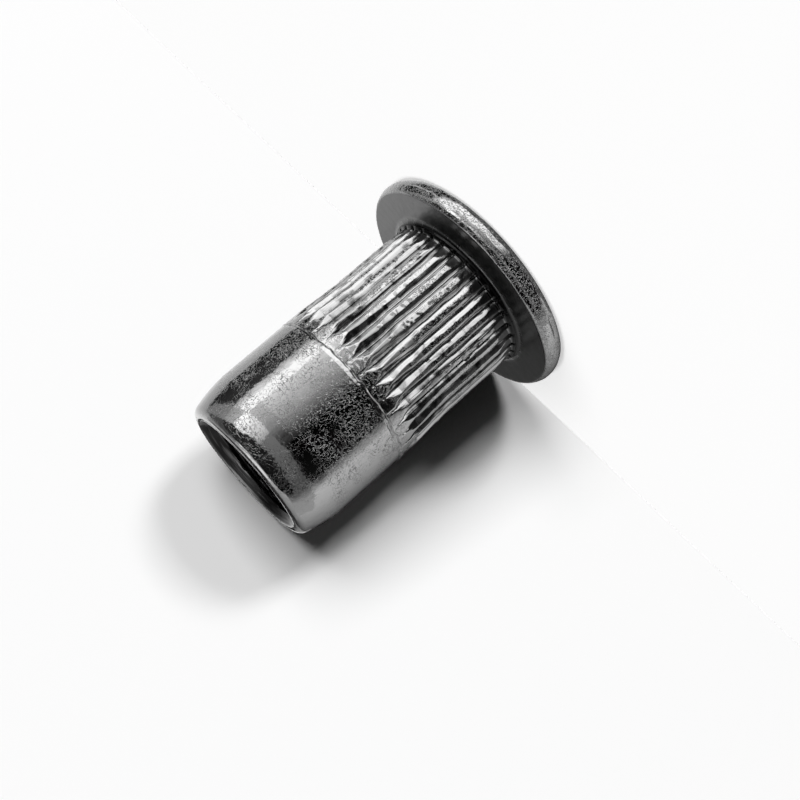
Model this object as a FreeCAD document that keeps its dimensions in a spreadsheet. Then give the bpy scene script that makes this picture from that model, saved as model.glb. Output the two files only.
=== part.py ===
"""M8 rivet nut with a flat head, a knurled shank and an open end, in plated steel.

The nut is one cold-formed piece. It is drawn in millimetres, standing on its flat head: the origin is
the middle of the head's outer face, and +Z runs up the shank to the open end.

From the head upwards the shank has a knurled zone, whose wall is thin so that it can fold when the nut
is set, then a plain land into which the grooves run out, and a plain zone that holds the thread and ends
in a rounded nose. The screw goes in through the head. The thread itself is too fine for this model, so
the bore of the thread zone has the thread's minor diameter.
"""
import FreeCAD, Part
import math
import os
import Sketcher

NODE = "rivet_nut"

# The driving sizes, in millimetres, degrees and counts. Each one can be changed by itself.
SIZES = {
    "overall_length": 19.4,
    "head_diameter": 15.9,
    "head_thickness": 1.4,
    "rim_bulge": 0.26,
    "neck_fillet": 0.35,
    "shank_diameter": 10.9,
    "knurl_drop": 0.16,
    "fold_wall": 0.79,
    "thread_zone_length": 7.8,
    "land_length": 1.6,
    "shoulder_length": 0.8,
    "nose_length": 3.2,
    "nose_draw_in": 0.4,
    "nose_edge_radius": 0.6,
    "end_ring_width": 0.22,
    "mouth_angle": 90.0,
    "thread_minor_diameter": 6.647,
    "thread_lead": 0.3,
    "relief_angle": 90.0,
    "entry_chamfer": 0.3,
    "groove_count": 34,
    "groove_depth": 0.265,
    "groove_angle": 90.0,
    "groove_root_width": 0.03,
    "groove_head_gap": 0.2,
    "groove_end_slope": 0.35,
    "groove_runout": 1.3,
    "groove_tip_gap": 0.25,
    "cutter_clearance": 0.02,
    "cutter_margin": 0.3,
}

# Places that follow from the driving sizes. Heights are measured from the head's outer face.
LAYOUT = {
    "shank_radius": "Sizes.shank_diameter / 2",
    "knurl_radius": "shank_radius - Sizes.knurl_drop",
    "head_radius": "Sizes.head_diameter / 2",
    "face_radius": "head_radius - Sizes.rim_bulge",
    "rim_radius": "((Sizes.head_thickness / 2) ^ 2 + Sizes.rim_bulge ^ 2) / (2 * Sizes.rim_bulge)",
    "rim_center": "head_radius - rim_radius",
    "neck_radius": "knurl_radius + Sizes.neck_fillet",
    "neck_top": "Sizes.head_thickness + Sizes.neck_fillet",
    "step_height": "Sizes.overall_length - Sizes.thread_zone_length",
    "land_start": "step_height - Sizes.land_length",
    "shoulder_start": "land_start - Sizes.shoulder_length",
    "nose_start": "Sizes.overall_length - Sizes.nose_length",
    "nose_drop": "Sizes.nose_draw_in + Sizes.nose_edge_radius",
    "nose_end_radius": "shank_radius - nose_drop",
    "nose_edge_center": "Sizes.overall_length - Sizes.nose_edge_radius",
    "nose_squares": "Sizes.nose_length ^ 2 + nose_drop ^ 2",
    "nose_radius": "(nose_squares / 2 - Sizes.nose_length * Sizes.nose_edge_radius) / Sizes.nose_draw_in",
    "nose_center": "shank_radius - nose_radius",
    "nose_share": "nose_radius / (nose_radius - Sizes.nose_edge_radius)",
    "nose_joint_radius": "nose_center + nose_share * (nose_end_radius - nose_center)",
    "nose_joint_height": "nose_start + nose_share * (nose_edge_center - nose_start)",
    "minor_radius": "Sizes.thread_minor_diameter / 2",
    "mouth_radius": "nose_end_radius - Sizes.end_ring_width",
    "mouth_depth": "(mouth_radius - minor_radius) / tan(Sizes.mouth_angle / 2 * 1 deg)",
    "mouth_bottom": "Sizes.overall_length - mouth_depth",
    "thread_start": "step_height + Sizes.thread_lead",
    "relief_radius": "knurl_radius - Sizes.fold_wall",
    "relief_cone": "(relief_radius - minor_radius) / tan(Sizes.relief_angle / 2 * 1 deg)",
    "relief_end": "thread_start - relief_cone",
    "entry_radius": "relief_radius + Sizes.entry_chamfer",
    "root_radius": "knurl_radius - Sizes.groove_depth",
    "root_half": "Sizes.groove_root_width / 2",
    "flank_slope": "tan(Sizes.groove_angle / 2 * 1 deg)",
    "cutter_radius": "shank_radius + Sizes.cutter_margin",
    "groove_start": "Sizes.head_thickness + Sizes.groove_head_gap",
    "fillet_rise": "max(Sizes.neck_fillet - Sizes.groove_head_gap; 0)",
    "fillet_reach": "Sizes.neck_fillet - sqrt(Sizes.neck_fillet ^ 2 - fillet_rise ^ 2)",
    "start_radius": "knurl_radius + fillet_reach + Sizes.cutter_clearance",
    "start_half": "root_half + (start_radius - root_radius) * flank_slope",
    "full_start": "groove_start + Sizes.groove_end_slope",
    "tip_height": "step_height - Sizes.groove_tip_gap",
    "full_end": "tip_height - Sizes.groove_runout",
    "tip_radius": "shank_radius + Sizes.cutter_clearance",
}


def fill_sheet(document, name, cells):
    """Make a spreadsheet with one named cell a row: plain numbers, or formulas where text is given."""
    sheet = document.addObject("Spreadsheet::Sheet", name)
    for row, (alias, content) in enumerate(cells.items(), start=1):
        sheet.set(f"A{row}", alias)
        sheet.set(f"B{row}", f"={content}" if isinstance(content, str) else str(content))
        sheet.setAlias(f"B{row}", alias)
    document.recompute()
    return sheet


def origin_feature(body, role):
    """Find one of the body's own origin planes or axes."""
    return next(item for item in body.Origin.OriginFeatures if item.Role == role)


def new_sketch(body, name, role, height=None):
    """Attach an empty sketch to an origin plane, lifted off it where a height is given."""
    sketch = body.newObject("Sketcher::SketchObject", name)
    sketch.AttachmentSupport = (origin_feature(body, role), "")
    sketch.MapMode = "FlatFace"
    if height:
        sketch.setExpression("AttachmentOffset.Base.z", height)
    return sketch


def bind_point(sketch, edge, end, axis, formula):
    """Hold one coordinate of a point at a formula, measured from the sketch's origin."""
    value = float(sketch.evalExpression(formula))
    kind = "DistanceX" if axis == 0 else "DistanceY"
    if abs(value) < 1e-9:
        sketch.addConstraint(Sketcher.Constraint("PointOnObject", edge, end, -2 if axis == 0 else -1))
    elif value > 0:
        index = sketch.addConstraint(Sketcher.Constraint(kind, -1, 1, edge, end, value))
        sketch.setExpression(f"Constraints[{index}]", formula)
    else:
        index = sketch.addConstraint(Sketcher.Constraint(kind, edge, end, -1, 1, -value))
        sketch.setExpression(f"Constraints[{index}]", f"-({formula})")


def arc_between(first, second, axis, center_value):
    """Arc through two points, with its centre at a given coordinate, and the ends that meet them."""
    middle = (first + second) / 2
    chord = second - first
    other = 1 - axis
    shift = (center_value - middle[axis]) * chord[axis] / chord[other]
    center = FreeCAD.Vector(middle)
    center[axis] = center_value
    center[other] = middle[other] - shift
    circle = Part.Circle(center, FreeCAD.Vector(0, 0, 1), (first - center).Length)
    start = math.atan2(first.y - center.y, first.x - center.x)
    stop = math.atan2(second.y - center.y, second.x - center.x)
    if (first - center).cross(second - center).z > 0:
        return Part.ArcOfCircle(circle, start, stop), 1, 2
    return Part.ArcOfCircle(circle, stop, start), 2, 1


def draw_outline(sketch, corners):
    """Draw a closed outline. A corner is two formulas, and may add the axis and place of the centre of an
    arc that leads to the next corner; otherwise a straight line does."""
    points = []
    for corner in corners:
        x_value = float(sketch.evalExpression(corner[0]))
        y_value = float(sketch.evalExpression(corner[1]))
        points.append(FreeCAD.Vector(x_value, y_value, 0))
    edges = []
    for index, corner in enumerate(corners):
        first = points[index]
        second = points[(index + 1) % len(points)]
        if len(corner) == 2:
            edge = sketch.addGeometry(Part.LineSegment(first, second), False)
            edges.append((edge, 1, 2))
        else:
            axis, center_formula = corner[2:]
            center_value = float(sketch.evalExpression(center_formula))
            arc, first_end, second_end = arc_between(first, second, axis, center_value)
            edge = sketch.addGeometry(arc, False)
            edges.append((edge, first_end, second_end))
    for index, (edge, first_end, second_end) in enumerate(edges):
        next_edge, next_end, _ = edges[(index + 1) % len(edges)]
        sketch.addConstraint(Sketcher.Constraint("Coincident", edge, second_end, next_edge, next_end))
    for (edge, first_end, _), corner in zip(edges, corners):
        bind_point(sketch, edge, first_end, 0, corner[0])
        bind_point(sketch, edge, first_end, 1, corner[1])
        if len(corner) > 2:
            bind_point(sketch, edge, 3, corner[2], corner[3])


def check_cut(document, feature, volume_before):
    """Stop where a cut took nothing away."""
    document.recompute()
    volume = feature.Shape.Volume
    if volume >= volume_before - 1e-6:
        raise RuntimeError(f"{feature.Name} cut nothing")
    print(f"{feature.Name}: {volume_before - volume:.2f} mm3 cut, {volume:.2f} mm3 left")
    return volume


def make_blank(body):
    """Turn the outer form: head with a rounded rim, knurl cylinder, shoulder, land and rounded nose."""
    sketch = new_sketch(body, "blank_outline", "XZ_Plane")
    half_head = "Sizes.head_thickness / 2"
    draw_outline(sketch, [
        ("0", "0"),
        ("Layout.face_radius", "0", 0, "Layout.rim_center"),
        ("Layout.head_radius", half_head, 0, "Layout.rim_center"),
        ("Layout.face_radius", "Sizes.head_thickness"),
        ("Layout.neck_radius", "Sizes.head_thickness", 0, "Layout.neck_radius"),
        ("Layout.knurl_radius", "Layout.neck_top"),
        ("Layout.knurl_radius", "Layout.shoulder_start"),
        ("Layout.shank_radius", "Layout.land_start"),
        ("Layout.shank_radius", "Layout.nose_start", 1, "Layout.nose_start"),
        ("Layout.nose_joint_radius", "Layout.nose_joint_height", 0, "Layout.nose_end_radius"),
        ("Layout.nose_end_radius", "Sizes.overall_length"),
        ("0", "Sizes.overall_length"),
    ])
    blank = body.newObject("PartDesign::Revolution", "blank")
    blank.Profile = sketch
    blank.ReferenceAxis = (sketch, ["V_Axis"])
    blank.Angle = 360.0
    return blank


def make_bore(body):
    """Turn the way through: chamfered entry, relief bore, cone, thread bore and chamfered mouth."""
    sketch = new_sketch(body, "bore_outline", "XZ_Plane")
    draw_outline(sketch, [
        ("0", "0"),
        ("Layout.entry_radius", "0"),
        ("Layout.relief_radius", "Sizes.entry_chamfer"),
        ("Layout.relief_radius", "Layout.relief_end"),
        ("Layout.minor_radius", "Layout.thread_start"),
        ("Layout.minor_radius", "Layout.mouth_bottom"),
        ("Layout.mouth_radius", "Sizes.overall_length"),
        ("0", "Sizes.overall_length"),
    ])
    bore = body.newObject("PartDesign::Groove", "bore")
    bore.Profile = sketch
    bore.ReferenceAxis = (sketch, ["V_Axis"])
    bore.Angle = 360.0
    return bore


def groove_section(body, name, height, radius, half_width):
    """Draw the V of one groove, cut across the axis at a height: its root width and its open top."""
    sketch = new_sketch(body, name, "XY_Plane", height)
    top_half = f"{half_width} + (Layout.cutter_radius - {radius}) * Layout.flank_slope"
    draw_outline(sketch, [
        (half_width, f"-{radius}"),
        (f"-{half_width}", f"-{radius}"),
        (f"-({top_half})", "-Layout.cutter_radius"),
        (top_half, "-Layout.cutter_radius"),
    ])
    return sketch


def make_groove(body):
    """Cut one groove of the knurl: it slopes down from the neck, runs level and rises to a sharp tip."""
    places = {
        "groove_at_neck": ("Layout.groove_start", "Layout.start_radius", "Layout.start_half"),
        "groove_full": ("Layout.full_start", "Layout.root_radius", "Layout.root_half"),
        "groove_last": ("Layout.full_end", "Layout.root_radius", "Layout.root_half"),
        "groove_tip": ("Layout.tip_height", "Layout.tip_radius", "Layout.root_half"),
    }
    sections = [groove_section(body, name, *place) for name, place in places.items()]
    groove = body.newObject("PartDesign::SubtractiveLoft", "knurl_groove")
    groove.Profile = sections[0]
    groove.Sections = sections[1:]
    groove.Ruled = True
    return groove


def make_knurl(body, groove):
    """Repeat the groove all round the shank."""
    pattern = body.newObject("PartDesign::PolarPattern", "knurl")
    pattern.Originals = [groove]
    pattern.Axis = (origin_feature(body, "Z_Axis"), [""])
    pattern.Angle = 360.0
    pattern.setExpression("Occurrences", "Sizes.groove_count")
    body.Tip = pattern
    return pattern


def check_document(document, body):
    """Stop where any object failed, or the finished piece is not one valid solid."""
    for item in document.Objects:
        if {"Invalid", "Error"} & set(item.State):
            raise RuntimeError(f"{item.Name} failed: {item.State}")
    shape = body.Shape
    if shape.isNull() or not shape.isValid() or len(shape.Solids) != 1:
        raise RuntimeError("the rivet nut is not one valid solid")


def main():
    document = FreeCAD.newDocument("rivet_nut_model")
    fill_sheet(document, "Sizes", SIZES)
    layout = fill_sheet(document, "Layout", LAYOUT)

    body = document.addObject("PartDesign::Body", NODE)
    body.Label = NODE
    blank = make_blank(body)
    document.recompute()
    volume = blank.Shape.Volume
    print(f"blank: {volume:.2f} mm3")
    groove = make_groove(body)
    volume = check_cut(document, groove, volume)
    knurl = make_knurl(body, groove)
    volume = check_cut(document, knurl, volume)
    bore = make_bore(body)
    body.Tip = bore
    check_cut(document, bore, volume)
    body.Placement = FreeCAD.Placement(FreeCAD.Vector(0, 0, 0), FreeCAD.Rotation())
    document.recompute()
    check_document(document, body)

    box = body.Shape.optimalBoundingBox(False)
    wall = layout.root_radius - layout.relief_radius
    print(f"{len(body.Shape.Faces)} faces, {box.XLength:.2f} x {box.YLength:.2f} x {box.ZLength:.2f} mm")
    print(f"thinnest wall under a groove {wall:.3f} mm")
    os.makedirs("parts", exist_ok=True)
    body.Shape.exportStep(os.path.join("parts", f"{body.Label}.step"))


main()
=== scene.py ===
# %% [markdown]
# # A rivet nut in plated steel
#
# This lesson dresses a rivet nut for a close-up photograph. The nut is one small piece of cold-formed
# steel, 19 mm long: a flat head, a sleeve with a straight knurl, a plain end and an inside thread.
# Its exact solid comes from the CAD file and stays the frame for everything made here. The looks are
# what is left to make: the worn knurl, the pitted plating, the thread and the soft light of a studio.

import math

import bmesh
import bpy
from mathutils import Matrix, Vector


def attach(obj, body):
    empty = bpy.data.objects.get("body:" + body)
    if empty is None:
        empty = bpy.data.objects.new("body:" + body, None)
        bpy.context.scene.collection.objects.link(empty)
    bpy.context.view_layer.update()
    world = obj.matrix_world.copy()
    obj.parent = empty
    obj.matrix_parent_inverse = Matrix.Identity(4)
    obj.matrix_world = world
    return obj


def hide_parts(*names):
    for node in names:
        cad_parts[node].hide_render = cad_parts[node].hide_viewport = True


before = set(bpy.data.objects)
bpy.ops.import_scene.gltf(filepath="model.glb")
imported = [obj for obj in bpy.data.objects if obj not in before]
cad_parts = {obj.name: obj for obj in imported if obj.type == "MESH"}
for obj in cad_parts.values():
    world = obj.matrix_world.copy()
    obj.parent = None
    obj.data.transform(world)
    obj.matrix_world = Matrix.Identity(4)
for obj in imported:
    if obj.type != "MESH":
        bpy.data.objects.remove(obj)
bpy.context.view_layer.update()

# %% [markdown]
# ## Sizes
#
# Blender counts in metres and the nut is drawn in millimetres, so one factor turns one into the other.
# The sizes repeat the solid's main ones. A few places are finer than in the solid, because a render
# shows them: the scoops where the ridges meet the head, the two low steps of the ridges' tops, the
# curved flanks of the grooves and the fine raised line where the die left the blank.

# %% Sizes in millimetres
MM = 0.001

LENGTH = 19.4
HEAD_RADIUS = 7.95
HEAD_THICKNESS = 1.4
RIM_BULGE = 0.26
RIM_EDGE_RUN = 0.063
RIM_EDGE_RISE = 0.0495
NECK_RADIUS = 5.43
NECK_FILLET = 0.34
LAND_RADIUS = 5.45
NOSE_START = 16.2
NOSE_ARC = 9.25
NOSE_EDGE = 0.6
END_RADIUS = 4.45
MOUTH_RADIUS = 4.23
MOUTH_LIP = 0.02
RING_RISE = 0.012
MINOR_RADIUS = 3.3235
THREAD_PITCH = 1.25
THREAD_DEPTH = 0.6765
THREAD_START = 11.9
RELIEF_RADIUS = 4.5
RELIEF_END = 10.7235
ENTRY_CHAMFER = 0.3

GROOVES = 34
GROOVE_START = 1.7
GROOVE_FULL = 1.95
GROOVE_LAST = 10.05
GROOVE_TIP = 11.35
GROOVE_ROOT = 5.03
ROOT_HALF = 0.015
print("head", round(HEAD_RADIUS / LAND_RADIUS, 2), "shanks across, length",
      round(LENGTH / LAND_RADIUS / 2, 2), "shanks")

# %% [markdown]
# ## The outline of one strip
#
# The nut repeats itself 34 times round its axis, once for each groove. So only one strip is drawn, a
# closed band of quads that runs up the outside, over the mouth, down the bore and back over the head's
# face. Its rows are places on the outline, each a radius and a height. On the knurl every row is a cut
# across the groove, so that the edges of the V stay crisp lines of the mesh instead of steps. Tables of
# places and values say how the ridges' tops, the groove's floor and its flanks run.

# %% Outline of the ridges' tops and of the groove
RIDGE_TOPS = [
    (1.74, 5.43), (1.8, 5.35), (1.88, 5.29), (2.0, 5.265), (2.2, 5.268), (2.4, 5.281), (2.6, 5.302),
    (2.8, 5.32), (3.0, 5.329), (3.2, 5.33),
    (7.2, 5.30), (7.45, 5.30),
    (8.15, 5.345), (8.55, 5.35), (9.95, 5.45), (20.0, 5.45),
]


def between(table, place):
    """Read a value off a table of places and values, with straight lines between them."""
    for (low, first), (high, second) in zip(table, table[1:]):
        if place <= high:
            share = max(0.0, (place - low) / (high - low))
            return first + share * (second - first)
    return table[-1][1]


def fillet_radius(height):
    """Radius of the neck's fillet, which leads from the underside of the head into the ridges."""
    drop = HEAD_THICKNESS + NECK_FILLET - height
    return NECK_RADIUS + NECK_FILLET - math.sqrt(NECK_FILLET ** 2 - drop ** 2)


def ridge_top(height):
    """Radius of the uncut surface at a height above the head's face."""
    if height < HEAD_THICKNESS + NECK_FILLET:
        return fillet_radius(height)
    return between(RIDGE_TOPS, height)


CLEAR = 0.01
GROOVE_FLOOR = [
    (GROOVE_START, fillet_radius(GROOVE_START) + CLEAR), (1.76, 5.28), (1.84, 5.1), (1.94, GROOVE_ROOT),
    (GROOVE_LAST, GROOVE_ROOT), (GROOVE_TIP, LAND_RADIUS + CLEAR), (LENGTH, LAND_RADIUS + 0.4),
]
ROOT_HALVES = [(GROOVE_START, 0.16), (1.8, 0.06), (GROOVE_FULL, ROOT_HALF), (LENGTH, ROOT_HALF)]


def groove_floor(height):
    """Radius of the groove's floor and half of its width; above the surface where there is no groove."""
    floor = between(GROOVE_FLOOR, height)
    if height < GROOVE_START:
        floor = ridge_top(height) + 10 * CLEAR
    return floor, between(ROOT_HALVES, height)


# Half widths of the strip's columns, and the flank: places across it with the height reached there.
EDGE_HALF = 0.03
NARROWEST = 0.13
FLANK_SHARES = (0.0, 0.36, 0.72)
FLANK = [(0.0, 0.0), (0.04, 0.11), (0.09, 0.165), (0.25, 0.24), (0.38, 0.38), (1.0, 1.0)]


def groove_half_width(depth):
    """Half of the groove's width at a depth below the surface, read back from the flank's curve."""
    return between([(height, place) for place, height in FLANK], depth)


def cut_across(height):
    """One row of the strip on the knurl: places across the groove, from ridge to ridge, with radii."""
    top = ridge_top(height)
    floor, half = groove_floor(height)
    mouth = half + groove_half_width(max(top - floor, 0.0))
    spread = max(mouth, NARROWEST)
    ridge_middle = math.pi * top / GROOVES
    places = [half + (spread - half) * share for share in FLANK_SHARES] + [
        spread - EDGE_HALF, spread + EDGE_HALF, (spread + EDGE_HALF + ridge_middle) / 2, ridge_middle,
    ]
    row = []
    for side in (-1, 1):
        for place in sorted(places, reverse=side < 0):
            depth = floor + between(FLANK, max(place - half, 0.0))
            radius = min(top, depth)
            row.append((side * place / top, radius, 1.0 if place >= spread else 0.0))
    return row


MID_KNURL = 6.0
print("across the knurl:", len(cut_across(MID_KNURL)), "points a row")

# %% [markdown]
# The rows of the smooth zones are plain circles. Curved places get a row every few degrees, flat ones
# only a few, with one close to each edge so that the shading there stays crisp. The raised line is
# steep towards the head and slopes gently to the nose, where a shallow hollow follows it. The bore has
# twenty rows to each pitch, because the thread is pressed into these rows later.

# %% Rows of the strip


def arc_rows(center, radius, start, stop, steps):
    """Places on a circular arc of the outline; the angles are in degrees from the outward direction."""
    rows = []
    for step in range(steps + 1):
        angle = math.radians(start + (stop - start) * step / steps)
        rows.append((center[0] + radius * math.cos(angle), center[1] + radius * math.sin(angle)))
    return rows


def spaced(first, last, step):
    """Evenly spaced numbers from first to last, with both ends in."""
    count = max(1, round((last - first) / step))
    return [first + (last - first) * index / count for index in range(count + 1)]


half_head = HEAD_THICKNESS / 2
rim_radius = (half_head ** 2 + RIM_BULGE ** 2) / (2 * RIM_BULGE)
rim_center = (HEAD_RADIUS - rim_radius, half_head)
rim_turn = math.degrees(math.asin((half_head - RIM_EDGE_RISE) / rim_radius))
face_radius = HEAD_RADIUS - RIM_BULGE - RIM_EDGE_RUN

KNURL_ZONES = [
    (1.4, 1.6, 0.033), (1.6, 1.95, 0.05), (1.95, 2.8, 0.085), (2.8, 9.95, 0.088), (9.95, 11.35, 0.1),
]
knurl_heights = [height for zone in KNURL_ZONES for height in spaced(*zone)[1:]] + [11.42, 11.5]
line_rows = [
    (0.0, 11.57), (0.045, 11.585), (0.05, 11.597), (0.03, 11.617), (0.0, 11.64), (-0.03, 11.665),
    (-0.033, 11.68), (-0.015, 11.71), (0.0, 11.76),
]

nose_center = (LAND_RADIUS - NOSE_ARC, NOSE_START)
edge_center = (END_RADIUS, LENGTH - NOSE_EDGE - RING_RISE)
nose_turn = math.degrees(math.atan2(edge_center[1] - NOSE_START, edge_center[0] - nose_center[0]))

SUPPORT_RADIUS = 7.56
PLAIN_ZONE = (11.9, 16.1, 0.42)
RING_TURN = 87
face_rows = [(radius, 0.0) for radius in (RELIEF_RADIUS + ENTRY_CHAMFER, 5.6, 6.6, SUPPORT_RADIUS)]
rim_rows = (
    [(face_radius, 0.0)]
    + arc_rows(rim_center, rim_radius, -rim_turn, rim_turn, 12)
    + [(face_radius, HEAD_THICKNESS)]
)
under_rows = [
    (radius, HEAD_THICKNESS)
    for radius in (SUPPORT_RADIUS, 7.2, 6.7, 6.2, 5.9, NECK_RADIUS + NECK_FILLET)
]
plain_rows = [(LAND_RADIUS, height) for height in spaced(*PLAIN_ZONE)]
nose_rows = (
    arc_rows(nose_center, NOSE_ARC, 0, nose_turn, 9)
    + arc_rows(edge_center, NOSE_EDGE, nose_turn, RING_TURN, 8)[1:]
    + [(MOUTH_RADIUS + 2 * MOUTH_LIP, LENGTH), (MOUTH_RADIUS, LENGTH - MOUTH_LIP)]
)
BORE_STEP = THREAD_PITCH / 20
mouth_top = LENGTH - MOUTH_LIP
mouth_bottom = mouth_top - (MOUTH_RADIUS - MINOR_RADIUS)


def downwards(bottom, top):
    """Heights in the bore from just below the top to the bottom, fine enough for the thread."""
    return spaced(bottom, top, BORE_STEP)[::-1][1:]


bore_rows = (
    [(MOUTH_RADIUS - (mouth_top - height), height) for height in downwards(mouth_bottom, mouth_top)]
    + [(MINOR_RADIUS, height) for height in downwards(THREAD_START, mouth_bottom)]
    + [(MINOR_RADIUS + THREAD_START - height, height) for height in downwards(RELIEF_END, THREAD_START)]
    + [(RELIEF_RADIUS, height) for height in (10.2, 8.0, 5.5, 3.0, 1.2, ENTRY_CHAMFER)]
)
print(len(knurl_heights), "rows on the knurl,", len(bore_rows), "in the bore")

# %% [markdown]
# ## One strip of the mesh
#
# The outside needs 13 quads across a strip and the bore only 3, so two rows of triangles lead from one
# count to the other, on the head's face and at the mouth, where nothing shows. Each point also carries
# numbers between 0 and 1 that the later steps read. Some say what the point belongs to: a ridge's top,
# a flank, the raised line, the rim, the bore. The others say how much a place is pitted or rubbed, and
# how much shade is painted on it under the head and in the mouth. They come from tables of heights,
# because the real nut and its shade change along its axis.

# %% Build the strip
COARSE = 3
RIM_ZONE = (0.01, 1.39)
NECK_END = 2.0
RIDGE_WEAR = [
    (2.6, 0.0), (3.2, 0.6), (4.2, 1.0), (7.2, 1.0), (7.6, 0.3), (8.3, 0.9), (8.7, 0.2), (10.2, 0.4),
]
PITTED = [
    (0.0, 0.8), (1.39, 0.8), (1.4, 0.05), (2.6, 0.05), (3.2, 0.7), (7.2, 1.0), (7.5, 0.5), (8.5, 0.8),
    (8.8, 0.3), (9.8, 0.3), (10.3, 1.0), (16.6, 1.0), (17.2, 0.5), (17.8, 0.35), (18.7, 0.35), (19.4, 0.15),
]
RUBBED = [
    (1.39, 0.0), (1.4, 0.7), (1.7, 0.3), (2.0, 0.1), (7.35, 0.0), (7.55, 0.7), (8.1, 0.7), (8.3, 0.1),
    (8.55, 0.1), (8.7, 1.0), (9.8, 1.0), (10.05, 0.0),
]
DRIFT = [(1.7, 0.0), (2.8, 1.0), (9.5, 1.0), (11.3, 0.3)]
# Share of painted shade by height: dark on the head's underside, the neck's fillet and the groove ends
# beside it, and in the mouth.
PAINTED_SHADE = [
    (1.39, 0.0), (1.4, 0.7), (1.55, 1.0), (1.8, 1.0), (1.92, 0.7), (2.1, 0.3), (2.4, 0.0), (18.3, 0.0),
    (18.5, 0.95), (19.3, 0.95), (19.37, 0.0),
]


def coarse_row(radius, height):
    """Points of a bore row, evenly spread over one strip."""
    width = 2 * math.pi / GROOVES
    return [(width * (index / COARSE - 0.5), radius, height) for index in range(COARSE + 1)]


def fine_row(radius, height):
    """Points of an outside row, at the angles of the knurl's columns."""
    return [(angle, radius, height) for angle, _, _ in cut_across(MID_KNURL)]


def close_gap(first, second, faces):
    """Fill between two rows of different counts with triangles, always from the row that lags."""
    near, far = 0, 0
    while near < len(first) - 1 or far < len(second) - 1:
        near_share = (near + 1) / (len(first) - 1) if near < len(first) - 1 else 2.0
        far_share = (far + 1) / (len(second) - 1) if far < len(second) - 1 else 2.0
        if near_share <= far_share:
            faces.append((first[near], first[near + 1], second[far]))
            near += 1
        else:
            faces.append((first[near], second[far + 1], second[far]))
            far += 1


def build_strip():
    """Make the mesh of one strip, with its point attributes and a finish number on each face."""
    rows = []
    for radius, height in face_rows[1:] + rim_rows + under_rows:
        rows.append(("plain", fine_row(radius, height), None))
    for height in knurl_heights:
        cut = cut_across(height)
        rows.append(("knurl", [(a, r, height) for a, r, _ in cut], [top for _, _, top in cut]))
    for lift, height in line_rows:
        rows.append(("line", fine_row(LAND_RADIUS + lift, height), None))
    for radius, height in plain_rows + nose_rows[:-1]:
        rows.append(("plain", fine_row(radius, height), None))
    for radius, height in nose_rows[-1:] + bore_rows + face_rows[:1]:
        rows.append(("bore", coarse_row(radius, height), None))

    points, indexes, kinds = [], [], []
    marks = {name: [] for name in (
        "ridge", "pitted", "rubbed", "painted_shade", "flank", "knurl", "line", "forged", "bore",
    )}
    for kind, row, tops in rows:
        start = len(points)
        for number, (angle, radius, height) in enumerate(row):
            turned = angle - math.pi / 2
            points.append((radius * math.cos(turned) * MM, radius * math.sin(turned) * MM, height * MM))
            top = tops[number] if tops else 0.0
            flank = 1.0 - top if tops else 0.0
            marks["ridge"].append(top * between(RIDGE_WEAR, height))
            marks["pitted"].append((1.0 - flank) * between(PITTED, height) if kind != "line" else 0.0)
            marks["rubbed"].append((1.0 - flank) * between(RUBBED, height))
            # Only rows near the head and rows of the knurl, the raised line and the bore take painted shade
            # from its table.
            shade_painted = kind != "plain" or height < NECK_END
            marks["painted_shade"].append(between(PAINTED_SHADE, height) if shade_painted else 0.0)
            marks["flank"].append(flank)
            marks["knurl"].append(between(DRIFT, height) if kind == "knurl" else 0.0)
            marks["line"].append(1.0 if kind == "line" else 0.0)
            on_rim = kind == "plain" and RIM_ZONE[0] < height < RIM_ZONE[1]
            marks["forged"].append(1.0 if on_rim else 0.0)
            marks["bore"].append(1.0 if kind == "bore" else 0.0)
        indexes.append(list(range(start, len(points))))
        kinds.append(kind)

    faces, finish = [], []
    for number, row in enumerate(indexes):
        after = indexes[(number + 1) % len(indexes)]
        before = len(faces)
        if len(row) == len(after):
            for column in range(len(row) - 1):
                faces.append((row[column], row[column + 1], after[column + 1], after[column]))
        else:
            close_gap(row, after, faces)
        in_bore = kinds[number] == "bore" and kinds[(number + 1) % len(kinds)] == "bore"
        finish += [int(in_bore)] * (len(faces) - before)

    mesh = bpy.data.meshes.new("strip")
    mesh.from_pydata(points, [], faces)
    for name, values in marks.items():
        mesh.attributes.new(name, "FLOAT", "POINT").data.foreach_set("value", values)
    mesh.attributes.new("finish", "INT", "FACE").data.foreach_set("value", finish)
    return mesh


strip = build_strip()
print("one strip:", len(strip.vertices), "points,", len(strip.polygons), "faces")

# %% [markdown]
# ## Two helpers for nodes
#
# Both geometry and materials are node trees. One function adds a node, sets its options, fills its
# inputs with numbers or links, and gives back its first output. Colours are written as the hex values
# that a picture editor shows, and one function turns them into the linear numbers that Blender wants.

# %% Node helper and colours


def add_node(tree, kind, inputs=None, **settings):
    """Add a node with its settings and links; gives its first output, whose .node is the node itself."""
    node = tree.nodes.new(kind)
    for name, value in settings.items():
        setattr(node, name, value)
    for name, value in (inputs or {}).items():
        if isinstance(value, bpy.types.NodeSocket):
            tree.links.new(value, node.inputs[name])
        else:
            node.inputs[name].default_value = value
    return node.outputs[0] if node.outputs else node


def srgb(code):
    """Linear red, green, blue and alpha of an sRGB hex colour."""
    channels = [int(code[place:place + 2], 16) / 255 for place in (1, 3, 5)]
    linear = [c / 12.92 if c <= 0.04045 else ((c + 0.055) / 1.055) ** 2.4 for c in channels]
    return (*linear, 1.0)


print("hex #808080 is", round(srgb("#808080")[0], 3), "of white in linear light")

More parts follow.
